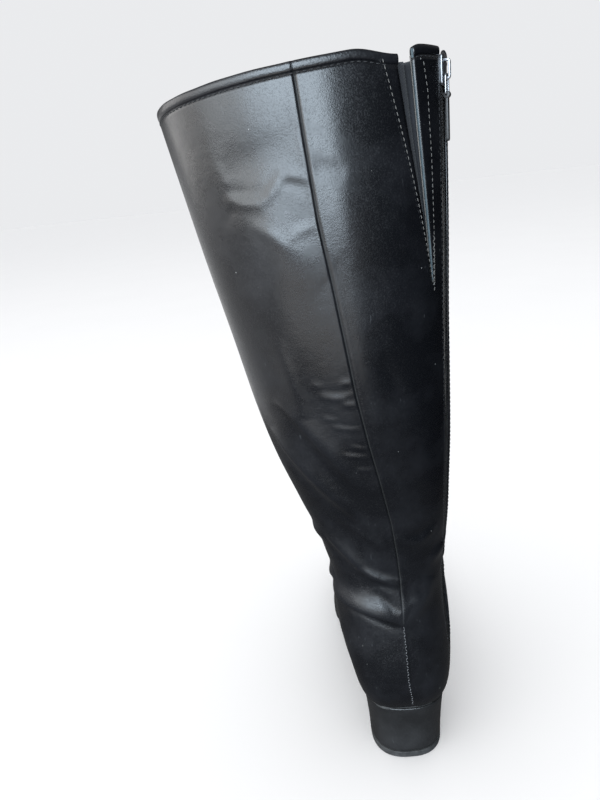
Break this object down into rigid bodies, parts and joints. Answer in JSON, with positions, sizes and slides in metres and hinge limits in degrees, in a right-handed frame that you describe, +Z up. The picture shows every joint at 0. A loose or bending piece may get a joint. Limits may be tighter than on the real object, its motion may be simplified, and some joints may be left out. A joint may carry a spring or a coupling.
{
  "type": "knee-high boot",
  "caption": "Knee-high black leather boot for the left foot, with a wide calf, block heel, long inner zip and a V-shaped elastic gore at the collar.",
  "frame": {"origin": "on the floor, at the centre of the heel's ground face", "axes": "+Z up, -Y towards the toe, +X towards the outer (little toe) side of this left boot"},
  "size_m": [0.1501, 0.2808, 0.4335],
  "materials": {
    "leather": "smooth semi-gloss black leather with a fine grain and soft creases",
    "outsole_rubber": "matte black moulded rubber",
    "insole_board": "dark smooth lining leather over board",
    "heel_cover": "black leather-covered block",
    "top_piece_rubber": "matte black rubber",
    "binding_leather": "smooth black folded leather",
    "elastic": "dark grey ribbed elastic",
    "zip_tape": "black woven polyester tape",
    "zip_coil": "black nylon coil",
    "zip_metal": "bright plated zinc",
    "pull_plastic": "smooth black plastic"
  },
  "bodies": {
    "boot": {"upper": "leather", "outsole": "outsole_rubber", "insole": "insole_board", "heel_block": "heel_cover", "heel_top_piece": "top_piece_rubber", "collar_binding": "binding_leather", "collar_binding_strip": "binding_leather", "elastic_gore": "elastic", "zip_tape_front": "zip_tape", "zip_tape_back": "zip_tape", "zip_coil": "zip_coil", "zip_slider": "zip_metal"},
    "pull_link": {"zip_pull_link": "zip_metal"},
    "pull_bar": {"zip_pull_bar": "pull_plastic"}
  },
  "joints": [
    {"name": "link_on_slider", "type": "hinge", "parent": "boot", "child": "pull_link", "pos_m": [-0.03456, 0.02664, 0.42235], "axis": [0.4603, 0.8878, 0], "range_deg": [0, 160]},
    {"name": "bar_on_link", "type": "hinge", "parent": "pull_link", "child": "pull_bar", "pos_m": [-0.03456, 0.02664, 0.41385], "axis": [0.4603, 0.8878, 0], "range_deg": [0, 75]}
  ]
}
